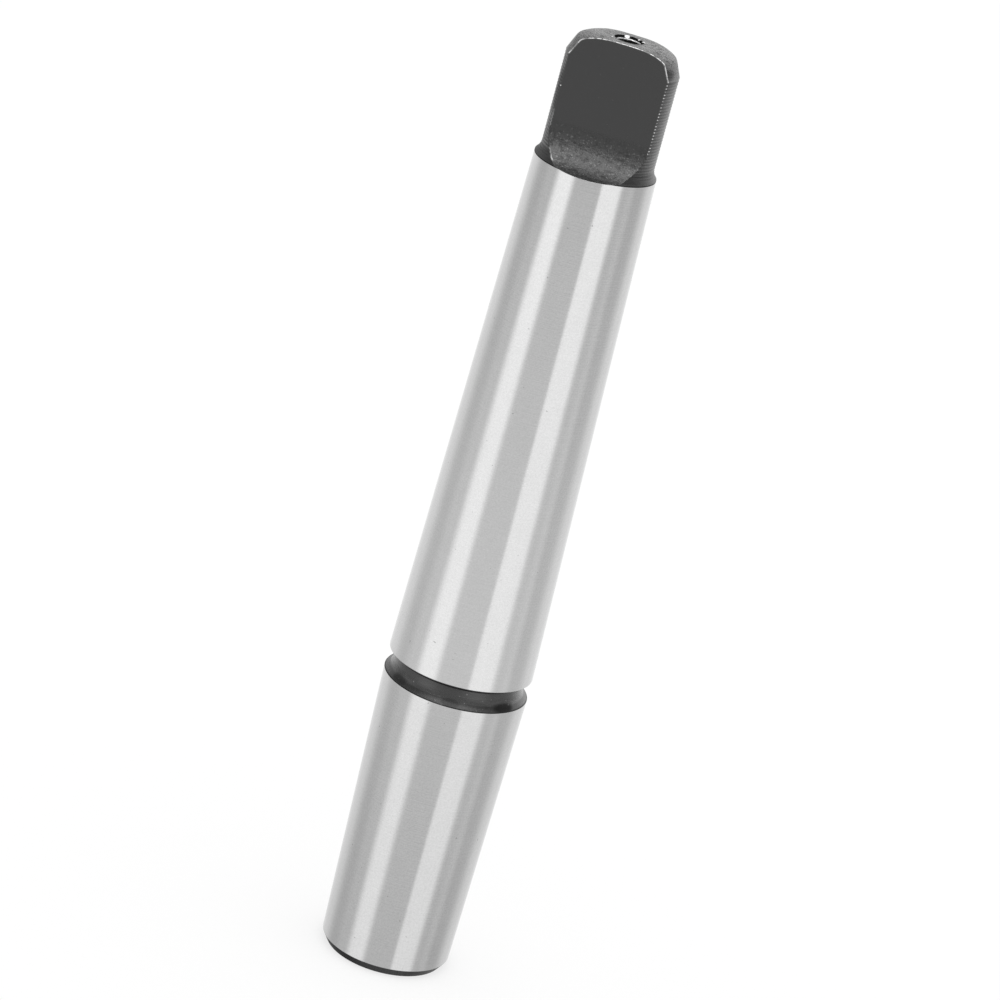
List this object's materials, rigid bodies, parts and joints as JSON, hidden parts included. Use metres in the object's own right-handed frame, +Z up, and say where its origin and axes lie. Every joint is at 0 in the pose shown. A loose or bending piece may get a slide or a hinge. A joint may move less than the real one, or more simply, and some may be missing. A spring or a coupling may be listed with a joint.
{
  "type": "drill chuck arbor",
  "caption": "Solid one-piece steel arbor: a long tapered shank with a flat-sided tang, a relief groove and a short taper that carries a drill chuck.",
  "frame": {"origin": "middle of the flat end face of the chuck taper, where the axis meets it", "axes": "+Z up the axis, from the chuck taper to the tang; the flats of the tang face -Y and +Y"},
  "size_m": [0.018, 0.018, 0.1203],
  "materials": {
    "arbor": "ground bright on both tapers, black oxide on the tang, the groove and the end bevel"
  },
  "bodies": {
    "root": {"arbor": "arbor"}
  },
  "joints": []
}
